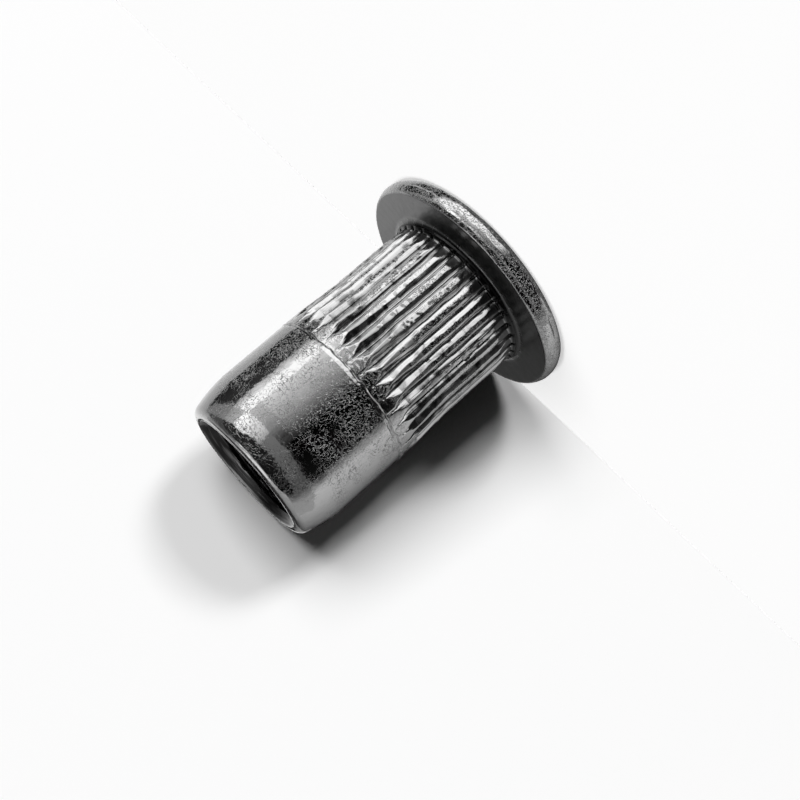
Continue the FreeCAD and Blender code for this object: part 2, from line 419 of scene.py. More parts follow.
# %% [markdown]
# ## Plated steel
#
# The nut is mild steel, formed cold and then zinc plated: a grey metal with a clear reflection. Thin
# plating follows the grain of the blank, so the plain zone and the rim are covered with fine furrows that
# wander, about a fifth of a millimetre apart. The die burnished the flanks of the grooves lengthwise and
# left the ridges' tops dull where it rubbed them. Patterns are in millimetres of the real surface, and
# the numbers stored on the points say where each one belongs.

# %% Start of a metal


def pattern_scale(size):
    """Scale of a noise whose spots are about this many millimetres across."""
    return 1 / (size * MM)


def new_metal(name, shade, roughness):
    """Start a metal: a shader with the sockets that are the same all over already set."""
    material = bpy.data.materials.new(name)
    material.use_nodes = True
    tree = material.node_tree
    shader = tree.nodes["Principled BSDF"]
    shader.inputs["Base Color"].default_value = shade
    shader.inputs["Metallic"].default_value = 1.0
    shader.inputs["Roughness"].default_value = roughness
    return material, tree, shader


print("a pattern of 1 mm has a scale of", round(pattern_scale(1.0)))

# %% Relief of the plating
PATCH_SIZE = 1.6
FURROW_SIZE = 0.21
FURROW_WIDTHS = (-0.016, 0.036)
FURROW_BANK = (-0.03, 0.015)
RIM_EXTRA = 0.025
SOFT_SHARE = 0.2
BURNISH_SIZE = 0.11
BURNISH_STRETCH = (1.0, 1.0, 0.05)
BURNISH_SHARE = 0.8
RIPPLE_SIZE = 0.7
RIPPLE_SHARE = 0.9


def furrow_plateau(tree, place, forged):
    """Furrows where the grain passes its middle value, wider in some patches and on the rim.

    Gives the plateau, which is 1 between the furrows and 0 in them, and the soft grain itself.
    """
    patches = add_node(tree, "ShaderNodeTexNoise", {"Vector": place, "Scale": pattern_scale(PATCH_SIZE)})
    thick = add_node(tree, "ShaderNodeMapRange", {
        "Value": patches, "From Min": 0.3, "From Max": 0.7,
        "To Min": FURROW_WIDTHS[0], "To Max": FURROW_WIDTHS[1],
    })
    wider = add_node(tree, "ShaderNodeMath", {0: forged, 1: RIM_EXTRA, 2: thick}, operation="MULTIPLY_ADD")
    grain = add_node(tree, "ShaderNodeTexNoise", {
        "Vector": place, "Scale": pattern_scale(FURROW_SIZE), "Detail": 1.0, "Roughness": 0.5,
        "Distortion": 0.9,
    })
    centred = add_node(tree, "ShaderNodeMath", {0: grain, 1: 0.5}, operation="SUBTRACT")
    folded = add_node(tree, "ShaderNodeMath", {0: centred}, operation="ABSOLUTE")
    edge = add_node(tree, "ShaderNodeMath", {0: folded, 1: wider}, operation="SUBTRACT")
    plateau = add_node(tree, "ShaderNodeMapRange", {
        "Value": edge, "From Min": FURROW_BANK[0], "From Max": FURROW_BANK[1], "To Min": 0.0, "To Max": 1.0,
    }, interpolation_type="SMOOTHSTEP")
    return plateau, grain


def plating_relief(tree, place, plateau, grain, pitted, flank):
    """Height of the surface: furrows, burnished lines on the flanks, and a shallow ripple over all."""
    soft = add_node(tree, "ShaderNodeMath", {0: grain, 1: SOFT_SHARE}, operation="MULTIPLY")
    rough = add_node(tree, "ShaderNodeMath", {0: plateau, 1: soft}, operation="ADD")
    furrows = add_node(tree, "ShaderNodeMath", {0: rough, 1: pitted}, operation="MULTIPLY")

    drawn = add_node(tree, "ShaderNodeMapping", {"Vector": place, "Scale": BURNISH_STRETCH})
    lines = add_node(tree, "ShaderNodeTexNoise", {
        "Vector": drawn, "Scale": pattern_scale(BURNISH_SIZE), "Detail": 2.0,
    })
    on_flank = add_node(tree, "ShaderNodeMath", {0: lines, 1: flank}, operation="MULTIPLY")
    burnished = add_node(tree, "ShaderNodeMath", {0: on_flank, 1: BURNISH_SHARE}, operation="MULTIPLY")
    relief = add_node(tree, "ShaderNodeMath", {0: furrows, 1: burnished}, operation="ADD")

    waves = add_node(tree, "ShaderNodeTexNoise", {"Vector": place, "Scale": pattern_scale(RIPPLE_SIZE)})
    shallow = add_node(tree, "ShaderNodeMath", {0: waves, 1: RIPPLE_SHARE}, operation="MULTIPLY")
    return add_node(tree, "ShaderNodeMath", {0: shallow, 1: relief}, operation="ADD")


print("furrows", FURROW_SIZE, "mm apart, burnished lines", BURNISH_SIZE, "mm, ripple", RIPPLE_SIZE, "mm")

# %% [markdown]
# The finish joins the relief with colour and roughness. All three read the same furrows and the same
# numbers on the points, so a furrow is sunk, a little darker and a little duller in one place.

# %% Finish of the outside
FURROW_DEPTH = 0.018
# The last colour is the near black of the painted shade under the head.
PLATE, PLATE_LOW, PAINTED_SHADE_DARK = srgb("#b8b8b8"), srgb("#a4a4a4"), srgb("#2e2e2e")
PLATE_ROUGHNESS = 0.07
RUBBED_ROUGHNESS = 0.34
FLANK_RUBBED = 0.18
FURROW_ROUGHNESS = 0.04


def plated_steel():
    """Zinc plated steel, cold formed: a clear grey reflection, broken by fine furrows and rubbed spots."""
    material, tree, shader = new_metal("zinc_plated_steel_formed", PLATE, 0.14)
    place = add_node(tree, "ShaderNodeTexCoord").node.outputs["Object"]
    pitted, rubbed, flank, forged, painted_shade = (
        add_node(tree, "ShaderNodeAttribute", attribute_name=name).node.outputs["Fac"]
        for name in ("pitted", "rubbed", "flank", "forged", "painted_shade")
    )
    plateau, grain = furrow_plateau(tree, place, forged)
    relief = plating_relief(tree, place, plateau, grain, pitted, flank)
    bump = add_node(tree, "ShaderNodeBump", {
        "Height": relief, "Strength": 1.0, "Distance": FURROW_DEPTH * MM,
    })
    tree.links.new(bump, shader.inputs["Normal"])

    # Colour: a little darker in the furrows, and nearly black where shade is painted under the head.
    kept = add_node(tree, "ShaderNodeMath", {0: pitted, 1: plateau}, operation="MULTIPLY")
    lack = add_node(tree, "ShaderNodeMath", {0: pitted, 1: kept}, operation="SUBTRACT")
    color = add_node(tree, "ShaderNodeMix", {
        "Factor": lack, "A": PLATE, "B": PLATE_LOW,
    }, data_type="RGBA").node.outputs["Result"]
    shade_painted = add_node(tree, "ShaderNodeMix", {
        "Factor": painted_shade, "A": color, "B": PAINTED_SHADE_DARK,
    }, data_type="RGBA").node.outputs["Result"]
    tree.links.new(shade_painted, shader.inputs["Base Color"])

    # Roughness: duller where rubbed, a little on the flanks and in the furrows.
    brushed = add_node(tree, "ShaderNodeMath", {0: flank, 1: FLANK_RUBBED}, operation="MULTIPLY")
    worn = add_node(tree, "ShaderNodeMath", {0: rubbed, 1: brushed}, operation="ADD")
    satin = add_node(tree, "ShaderNodeMath", {0: worn, 1: RUBBED_ROUGHNESS}, operation="MULTIPLY")
    dull = add_node(tree, "ShaderNodeMath", {0: lack, 1: FURROW_ROUGHNESS}, operation="MULTIPLY")
    rougher = add_node(tree, "ShaderNodeMath", {0: satin, 1: dull}, operation="ADD")
    gloss = add_node(tree, "ShaderNodeMath", {0: rougher, 1: PLATE_ROUGHNESS}, operation="ADD")
    tree.links.new(gloss, shader.inputs["Roughness"])
    return material


outer_finish = plated_steel()
print("finish:", outer_finish.name, "with", len(outer_finish.node_tree.nodes), "nodes")

# %% [markdown]
# The bore is turned, not formed, so it has its own finish. Noise that is squeezed along the axis makes
# marks that run round it. Shade is painted into the mouth's colour, lighter in streaks round the bore.
# The real marks are finer, and are drawn coarser here so that they show.

# %% Finish of the bore
TURNING_SIZE = 0.8
TURNING_STRETCH = (1.0, 1.0, 9.0)
STREAK_STRETCH = (0.25, 0.25, 5.0)
TURNING_DEPTH = 0.03
# The second colour is the near black of the painted shade in the mouth.
CUT, PAINTED_MOUTH_SHADE = srgb("#8b8b8b"), srgb("#1e1e1e")


def cut_steel():
    """Cut and plated steel of the bore: fine turning marks across the axis, with shade painted in the
    mouth.
    """
    material, tree, shader = new_metal("zinc_plated_steel_cut", CUT, 0.2)
    place = add_node(tree, "ShaderNodeTexCoord").node.outputs["Object"]
    painted_shade = add_node(tree, "ShaderNodeAttribute", attribute_name="painted_shade").node.outputs["Fac"]

    # Painted shade in the mouth, half as dark on streaks round the bore.
    drawn = add_node(tree, "ShaderNodeMapping", {"Vector": place, "Scale": STREAK_STRETCH})
    crests = add_node(tree, "ShaderNodeTexNoise", {
        "Vector": drawn, "Scale": pattern_scale(TURNING_SIZE), "Detail": 2.0,
    })
    shade_share = add_node(tree, "ShaderNodeMapRange", {
        "Value": crests, "From Min": 0.54, "From Max": 0.66, "To Min": 1.0, "To Max": 0.5,
    })
    mouth_shade = add_node(tree, "ShaderNodeMath", {0: painted_shade, 1: shade_share}, operation="MULTIPLY")
    color = add_node(tree, "ShaderNodeMix", {"Factor": mouth_shade, "A": CUT, "B": PAINTED_MOUTH_SHADE}, data_type="RGBA")
    tree.links.new(color.node.outputs["Result"], shader.inputs["Base Color"])

    # Turning marks: the same kind of noise, squeezed along the axis.
    squeezed = add_node(tree, "ShaderNodeMapping", {"Vector": place, "Scale": TURNING_STRETCH})
    marks = add_node(tree, "ShaderNodeTexNoise", {
        "Vector": squeezed, "Scale": pattern_scale(TURNING_SIZE), "Detail": 2.0,
    })
    bump = add_node(tree, "ShaderNodeBump", {
        "Height": marks, "Strength": 0.8, "Distance": TURNING_DEPTH * MM,
    })
    tree.links.new(bump, shader.inputs["Normal"])
    return material


bore_finish = cut_steel()
print("finish:", bore_finish.name, "with", len(bore_finish.node_tree.nodes), "nodes")

# %% [markdown]
# ## The nut's shape as a node tree
#
# The shape follows a rule, so a Geometry Nodes tree makes it. The tree turns the strip round the axis once
# for each groove and welds the seams. Then it presses the thread into the bore: the radius of every
# bore point follows a 60 degree profile whose phase turns once in a pitch. Last it roughens what the die
# left rough: the ridges' tops, the raised line and the rim get small hollows, the line wanders along the
# axis, and the edges of the grooves drift a little sideways.

# %% Inputs of the tree
TREE_INPUTS = [
    ("Strip", "NodeSocketGeometry", None),
    ("Grooves", "NodeSocketInt", GROOVES),
    ("Thread Pitch", "NodeSocketFloat", THREAD_PITCH * MM),
    ("Thread Depth", "NodeSocketFloat", THREAD_DEPTH * MM),
    ("Minor Radius", "NodeSocketFloat", MINOR_RADIUS * MM),
    ("Ridge Wear", "NodeSocketFloat", 0.02 * MM),
    ("Line Wear", "NodeSocketFloat", 0.016 * MM),
    ("Line Drift", "NodeSocketFloat", 0.09 * MM),
    ("Rim Wear", "NodeSocketFloat", 0.03 * MM),
    ("Edge Drift", "NodeSocketFloat", 0.035 * MM),
    ("Seed", "NodeSocketFloat", 7.0),
    ("Outer Finish", "NodeSocketMaterial", outer_finish),
    ("Bore Finish", "NodeSocketMaterial", bore_finish),
]
print("the tree takes", len(TREE_INPUTS), "inputs")

# %% [markdown]
# The thread could be swept along a helix and cut out of the bore, which often leaves poor faces. Pushing
# the bore's own points outwards keeps the mesh closed and even.

# %% The thread
# Shares of a pitch: the thread's groove is open over three quarters and flat at its bottom over an eighth.
OPEN_HALF = 0.375
BOTTOM_HALF = 0.0625


def pressed_thread(tree, given, nut):
    """Press the thread into the points of the bore; gives the nut and each point's outward direction."""
    place = add_node(tree, "GeometryNodeInputPosition")
    x, y, z = add_node(tree, "ShaderNodeSeparateXYZ", {"Vector": place}).node.outputs
    flat = add_node(tree, "ShaderNodeCombineXYZ", {"X": x, "Y": y})
    radius = add_node(tree, "ShaderNodeVectorMath", {0: flat}, operation="LENGTH").node.outputs["Value"]
    outward = add_node(tree, "ShaderNodeVectorMath", {0: flat}, operation="NORMALIZE")
    around = add_node(tree, "ShaderNodeMath", {0: y, 1: x}, operation="ARCTAN2")
    turns = add_node(tree, "ShaderNodeMath", {0: around, 1: math.tau}, operation="DIVIDE")

    # Distance from the middle of the nearest groove of the helix, along the axis.
    pitches = add_node(tree, "ShaderNodeMath", {0: z, 1: given["Thread Pitch"]}, operation="DIVIDE")
    phase = add_node(tree, "ShaderNodeMath", {0: pitches, 1: turns}, operation="SUBTRACT")
    part = add_node(tree, "ShaderNodeMath", {0: phase}, operation="FRACT")
    centred = add_node(tree, "ShaderNodeMath", {0: part, 1: 0.5}, operation="SUBTRACT")
    aside = add_node(tree, "ShaderNodeMath", {0: centred}, operation="ABSOLUTE")

    # Depth of the profile there, for points that the core bore has not already passed.
    cut = add_node(tree, "ShaderNodeMapRange", {
        "Value": aside, "From Min": OPEN_HALF, "From Max": BOTTOM_HALF, "To Min": 0.0, "To Max": 1.0,
    })
    depth = add_node(tree, "ShaderNodeMath", {0: cut, 1: given["Thread Depth"]}, operation="MULTIPLY")
    wall = add_node(tree, "ShaderNodeMath", {0: depth, 1: given["Minor Radius"]}, operation="ADD")
    wider = add_node(tree, "ShaderNodeMath", {0: wall, 1: radius}, operation="MAXIMUM")
    growth = add_node(tree, "ShaderNodeMath", {0: wider, 1: radius}, operation="SUBTRACT")
    bore = add_node(tree, "GeometryNodeInputNamedAttribute", {"Name": "bore"})
    in_bore = add_node(tree, "ShaderNodeMath", {0: growth, 1: bore}, operation="MULTIPLY")
    pressed = add_node(tree, "ShaderNodeVectorMath", {0: outward, "Scale": in_bore}, operation="SCALE")
    return add_node(tree, "GeometryNodeSetPosition", {"Geometry": nut, "Offset": pressed}), outward


print("thread groove: open over", 2 * OPEN_HALF, "of a pitch, flat over", 2 * BOTTOM_HALF)

# %% [markdown]
# Wear could be sculpted by hand. Noise on the points wears all the grooves at once, and as its seed is
# fixed, in the same way on each run.

# %% The wear
DENT_SIZE = 0.3
SWAY_SIZE = 1.1
DRIFT_SIZE = 1.3

# Noise seldom leaves the range from 0.3 to 0.7, which is spread here to a swing both ways or inwards.
BOTH_WAYS = {"From Min": 0.3, "From Max": 0.7, "To Min": -1.0, "To Max": 1.0}
INWARDS = {"From Min": 0.3, "From Max": 0.7, "To Min": -1.0, "To Max": 0.0}


def worn_nut(tree, given, nut, outward):
    """Hollows on the ridges' tops and the rim, a raised line that wanders, and edges that drift."""
    ridge, line, forged, knurl = (
        add_node(tree, "GeometryNodeInputNamedAttribute", {"Name": name})
        for name in ("ridge", "line", "forged", "knurl")
    )
    small = add_node(tree, "ShaderNodeTexNoise", {
        "W": given["Seed"], "Scale": pattern_scale(DENT_SIZE), "Detail": 2.0, "Roughness": 0.6,
    }, noise_dimensions="4D")
    large = add_node(tree, "ShaderNodeTexNoise", {
        "W": given["Seed"], "Scale": pattern_scale(SWAY_SIZE), "Detail": 2.0, "Roughness": 0.55,
    }, noise_dimensions="4D")
    medium = add_node(tree, "ShaderNodeTexNoise", {
        "W": given["Seed"], "Scale": pattern_scale(DRIFT_SIZE), "Detail": 1.0,
    }, noise_dimensions="4D")
    dent = add_node(tree, "ShaderNodeMapRange", {"Value": small, **BOTH_WAYS})
    hollow = add_node(tree, "ShaderNodeMapRange", {"Value": large, **INWARDS})
    sway = add_node(tree, "ShaderNodeMapRange", {"Value": large, **BOTH_WAYS})
    swing = add_node(tree, "ShaderNodeMapRange", {"Value": medium, **BOTH_WAYS})

    # Outwards: the ridges' tops, the raised line and the rim.
    wear = add_node(tree, "ShaderNodeMath", {0: given["Ridge Wear"], 1: ridge}, operation="MULTIPLY")
    ragged = add_node(tree, "ShaderNodeMath", {0: given["Line Wear"], 1: line}, operation="MULTIPLY")
    reach = add_node(tree, "ShaderNodeMath", {0: wear, 1: ragged}, operation="ADD")
    small_lift = add_node(tree, "ShaderNodeMath", {0: dent, 1: reach}, operation="MULTIPLY")
    rim_reach = add_node(tree, "ShaderNodeMath", {0: given["Rim Wear"], 1: forged}, operation="MULTIPLY")
    rim_lift = add_node(tree, "ShaderNodeMath", {0: hollow, 1: rim_reach}, operation="MULTIPLY")
    lift = add_node(tree, "ShaderNodeMath", {0: small_lift, 1: rim_lift}, operation="ADD")
    lifted = add_node(tree, "ShaderNodeVectorMath", {0: outward, "Scale": lift}, operation="SCALE")

    # Along the axis: the raised line.
    drift = add_node(tree, "ShaderNodeMath", {0: given["Line Drift"], 1: line}, operation="MULTIPLY")
    rise = add_node(tree, "ShaderNodeMath", {0: drift, 1: sway}, operation="MULTIPLY")
    raised = add_node(tree, "ShaderNodeCombineXYZ", {"Z": rise})
    upped = add_node(tree, "ShaderNodeVectorMath", {0: lifted, 1: raised}, operation="ADD")

    # Round the axis: the edges of the grooves.
    wander = add_node(tree, "ShaderNodeMath", {0: given["Edge Drift"], 1: knurl}, operation="MULTIPLY")
    sideways = add_node(tree, "ShaderNodeMath", {0: wander, 1: swing}, operation="MULTIPLY")
    across = add_node(tree, "ShaderNodeVectorMath", {
        0: (0.0, 0.0, 1.0), 1: outward,
    }, operation="CROSS_PRODUCT")
    shifted = add_node(tree, "ShaderNodeVectorMath", {0: across, "Scale": sideways}, operation="SCALE")
    moved = add_node(tree, "ShaderNodeVectorMath", {0: upped, 1: shifted}, operation="ADD")
    return add_node(tree, "GeometryNodeSetPosition", {"Geometry": nut, "Offset": moved})


print("wear patterns:", DENT_SIZE, SWAY_SIZE, "and", DRIFT_SIZE, "mm")

# %% The whole tree
WELD = 0.002


def nut_tree():
    """Build the tree: repeat the strip, press the thread, wear the surface and give the finishes."""
    tree = bpy.data.node_groups.new("rivet_nut_shape", "GeometryNodeTree")
    for name, kind, _ in TREE_INPUTS:
        tree.interface.new_socket(name=name, in_out="INPUT", socket_type=kind)
    tree.interface.new_socket(name="Nut", in_out="OUTPUT", socket_type="NodeSocketGeometry")
    given = add_node(tree, "NodeGroupInput").node.outputs

    # One strip for each groove, turned about the axis and welded to its neighbours.
    spots = add_node(tree, "GeometryNodePoints", {"Count": given["Grooves"]})
    number = add_node(tree, "GeometryNodeInputIndex")
    share = add_node(tree, "ShaderNodeMath", {0: number, 1: given["Grooves"]}, operation="DIVIDE")
    angle = add_node(tree, "ShaderNodeMath", {0: share, 1: math.tau}, operation="MULTIPLY")
    turn = add_node(tree, "ShaderNodeCombineXYZ", {"Z": angle})
    copies = add_node(tree, "GeometryNodeInstanceOnPoints", {
        "Points": spots, "Instance": given["Strip"], "Rotation": turn,
    })
    ring = add_node(tree, "GeometryNodeRealizeInstances", {"Geometry": copies})
    welded = add_node(tree, "GeometryNodeMergeByDistance", {"Geometry": ring, "Distance": WELD * MM})
    threaded, outward = pressed_thread(tree, given, welded)
    worn = worn_nut(tree, given, threaded, outward)

    # Finishes by the number that each face carries.
    mark = add_node(tree, "GeometryNodeInputNamedAttribute", {"Name": "finish"}, data_type="INT")
    in_hole = add_node(tree, "FunctionNodeCompare", {"A": mark, "B": 1}, data_type="INT", operation="EQUAL")
    whole = add_node(tree, "GeometryNodeRealizeInstances", {"Geometry": worn})
    outer = add_node(tree, "GeometryNodeSetMaterial", {
        "Geometry": whole, "Material": given["Outer Finish"],
    })
    painted = add_node(tree, "GeometryNodeSetMaterial", {
        "Geometry": outer, "Selection": in_hole, "Material": given["Bore Finish"],
    })
    add_node(tree, "NodeGroupOutput", {"Nut": painted})
    return tree


shape_tree = nut_tree()
print("tree:", len(shape_tree.nodes), "nodes")

# %% [markdown]
# The tree runs as a modifier on the strip. What is handed over is plain meshes, so the evaluated result is
# copied into a mesh of its own and the modifier goes. Then the faces are turned outwards, and edges
# sharper than 38 degrees stay crisp.

# %% Bake the nut
SHARP_ANGLE = 38


def baked(name, mesh, tree, values):
    """Run a tree on a mesh and keep its result as a plain mesh, without the modifier."""
    piece = bpy.data.objects.new(name, mesh)
    bpy.context.scene.collection.objects.link(piece)
    modifier = piece.modifiers.new("shape", "NODES")
    modifier.node_group = tree
    sockets = {item.name: item.identifier for item in tree.interface.items_tree if item.in_out == "INPUT"}
    for label, _, value in values:
        if value is not None:
            modifier[sockets[label]] = value
    bpy.context.view_layer.update()
    result = piece.evaluated_get(bpy.context.evaluated_depsgraph_get())
    piece_mesh = bpy.data.meshes.new_from_object(result)
    piece.modifiers.remove(modifier)
    piece.data = piece_mesh
    piece_mesh.name = name
    return piece


def face_outwards(mesh):
    """Turn all faces of a closed mesh outwards and shade it smooth, with crisp edges kept."""
    shell = bmesh.new()
    shell.from_mesh(mesh)
    bmesh.ops.recalc_face_normals(shell, faces=shell.faces)
    holes = sum(1 for edge in shell.edges if not edge.is_manifold)
    volume = shell.calc_volume()
    shell.to_mesh(mesh)
    shell.free()
    mesh.shade_smooth()
    mesh.set_sharp_from_angle(angle=math.radians(SHARP_ANGLE))
    return holes, volume


nut = baked("rivet_nut_dressed", strip, shape_tree, TREE_INPUTS)
open_edges, volume = face_outwards(nut.data)
nut.data.calc_loop_triangles()
print("nut:", len(nut.data.loop_triangles), "triangles,", open_edges, "open edges,",
      round(volume / MM ** 3, 1), "cubic millimetres")

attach(nut, "root")
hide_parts("rivet_nut")

# %% [markdown]
# ## Camera
#
# The camera stands in front of the nut, a little above it, and looks down on it by about 15 degrees. The
# picture shows the nut on its side, and here the camera is rolled for that instead: the nut keeps
# standing on its head, and its open end points to the lower left of the picture.

# %% Camera
CAMERA_PLACE = Vector((-0.17, -74.96, 29.42)) * MM
LOOK_SIDEWAYS = 2.0
LOOK_DOWN = 15.19
CAMERA_ROLL = -131.48
LENS = 55.81
SENSOR_WIDTH = 36.0
IMAGE_SIZE = 800

view_direction = Vector((
    -math.sin(math.radians(LOOK_SIDEWAYS)) * math.cos(math.radians(LOOK_DOWN)),
    math.cos(math.radians(LOOK_SIDEWAYS)) * math.cos(math.radians(LOOK_DOWN)),
    -math.sin(math.radians(LOOK_DOWN)),
))
camera_data = bpy.data.cameras.new("camera")
camera_data.lens = LENS
camera_data.sensor_width = SENSOR_WIDTH
camera_data.clip_start = 1 * MM
camera_data.clip_end = 5.0
camera = bpy.data.objects.new("camera", camera_data)
bpy.context.scene.collection.objects.link(camera)
upright = view_direction.to_track_quat("-Z", "Y").to_matrix().to_4x4()
rolled = upright @ Matrix.Rotation(math.radians(CAMERA_ROLL), 4, "Z")
camera.matrix_world = Matrix.Translation(CAMERA_PLACE) @ rolled
bpy.context.scene.camera = camera


def in_picture(point):
    """Pixel of a point given in millimetres, in the photograph's frame."""
    local = camera.matrix_world.inverted() @ (Vector(point) * MM)
    pixels = LENS / SENSOR_WIDTH * IMAGE_SIZE
    return (round(IMAGE_SIZE / 2 - pixels * local.x / local.z, 1),
            round(IMAGE_SIZE / 2 + pixels * local.y / local.z, 1))


print("middle of the head's face at pixel", in_picture((0, 0, 0)),
      "and middle of the mouth at", in_picture((0, 0, LENGTH)))

# %% [markdown]
# ## Floor, backdrop and light
#
# Polished metal has no look of its own: it shows the room. The stage is a pale floor and a pale board
# behind the nut, which takes the soft shadow of three large lamps. Round them stands a light tent, with
# bright and dark panels that only reflections see. Their places make the bands along the sleeve.

# %% Paper of the stage


def pale_surface(name, lift):
    """Pale matt paper; where no shadow falls on it, the camera sees it as nearly white."""
    material = bpy.data.materials.new(name)
    material.use_nodes = True
    tree = material.node_tree
    shader = tree.nodes["Principled BSDF"]
    shader.inputs["Base Color"].default_value = srgb("#fafafa")
    shader.inputs["Roughness"].default_value = 0.9
    shader.inputs["Specular IOR Level"].default_value = 0.0
    seen = add_node(tree, "ShaderNodeLightPath").node.outputs["Is Camera Ray"]
    strength = add_node(tree, "ShaderNodeMath", {0: seen, 1: lift}, operation="MULTIPLY")
    shader.inputs["Emission Color"].default_value = srgb("#ffffff")
    tree.links.new(strength, shader.inputs["Emission Strength"])
    return material


def add_sheet(name, corners, material):
    """A flat four-cornered stage piece, given by its corners in millimetres, seen only directly."""
    mesh = bpy.data.meshes.new(name)
    mesh.from_pydata([[value * MM for value in corner] for corner in corners], [], [(0, 1, 2, 3)])
    mesh.materials.append(material)
    sheet = bpy.data.objects.new(name, mesh)
    bpy.context.scene.collection.objects.link(sheet)
    sheet.visible_glossy = False
    sheet.visible_diffuse = False
    sheet.visible_shadow = False


FLOOR_REACH = 400
FLOOR_LIFT = 0.57
add_sheet("floor", [
    (-FLOOR_REACH, -FLOOR_REACH, 0), (FLOOR_REACH, -FLOOR_REACH, 0),
    (FLOOR_REACH, FLOOR_REACH, 0), (-FLOOR_REACH, FLOOR_REACH, 0),
], pale_surface("pale_paper", FLOOR_LIFT))
print("floor:", 2 * FLOOR_REACH, "mm square")

# %% [markdown]
# The board leans over the nut from behind. Its foot is sunk into the floor, so that no gap shows, and it
# is clear from its back, so that views from behind see through it.

# %% Board
BACKDROP_TURN = 107
BACKDROP_FOOT = 8.1
BACKDROP_SUNK = 1.0
BACKDROP_LEAN = 0.154
BACKDROP_HEIGHT = 150
BACKDROP_WIDTH = 200

away = Vector((math.cos(math.radians(BACKDROP_TURN)), math.sin(math.radians(BACKDROP_TURN)), 0))
aside = Vector((-away.y, away.x, 0))
foot = away * (BACKDROP_FOOT + BACKDROP_LEAN * BACKDROP_SUNK) - Vector((0, 0, BACKDROP_SUNK))
top = away * (BACKDROP_FOOT - BACKDROP_LEAN * BACKDROP_HEIGHT) + Vector((0, 0, BACKDROP_HEIGHT))
board_paper = pale_surface("pale_board", 0.0)
board_tree = board_paper.node_tree
behind = add_node(board_tree, "ShaderNodeNewGeometry").node.outputs["Backfacing"]
clear = add_node(board_tree, "ShaderNodeBsdfTransparent")
one_sided = add_node(board_tree, "ShaderNodeMixShader", {
    0: behind, 1: board_tree.nodes["Principled BSDF"].outputs[0], 2: clear,
})
board_tree.links.new(one_sided, board_tree.nodes["Material Output"].inputs["Surface"])
add_sheet("backdrop", [
    foot + aside * BACKDROP_WIDTH, foot - aside * BACKDROP_WIDTH,
    top - aside * BACKDROP_WIDTH, top + aside * BACKDROP_WIDTH,
], board_paper)
print("board: foot", BACKDROP_FOOT, "mm behind the axis,", BACKDROP_HEIGHT, "mm high")

# %% [markdown]
# The camera and the reflections see a white room behind the panels. As light on the object that white
# counts for next to nothing, and the lamps alone draw the shadow.

# %% World
AMBIENT = 0.015
world = bpy.data.worlds.new("world")
bpy.context.scene.world = world
world.use_nodes = True
world_tree = world.node_tree
light_path = add_node(world_tree, "ShaderNodeLightPath").node.outputs
seen = add_node(world_tree, "ShaderNodeMath", {
    0: light_path["Is Camera Ray"], 1: light_path["Is Glossy Ray"],
}, operation="MAXIMUM")
seen = add_node(world_tree, "ShaderNodeMath", {
    0: seen, 1: light_path["Is Transmission Ray"],
}, operation="MAXIMUM")
power = add_node(world_tree, "ShaderNodeMapRange", {"Value": seen, "To Min": AMBIENT, "To Max": 1.0})
background = world_tree.nodes["Background"]
background.inputs["Color"].default_value = srgb("#ffffff")
world_tree.links.new(power, background.inputs["Strength"])
print("world: white to the eye,", AMBIENT, "of white as light")

# %% [markdown]
# The tent is a sphere of panels round the nut. A panel covers a range of azimuth and of elevation in
# degrees, and its light runs evenly from the first azimuth to the second: the last two numbers are shares
# of white. Dark ones are flags: without them the metal would look like paper. The dark rail from 18 to 60
# degrees of elevation draws the dark band round the nose.

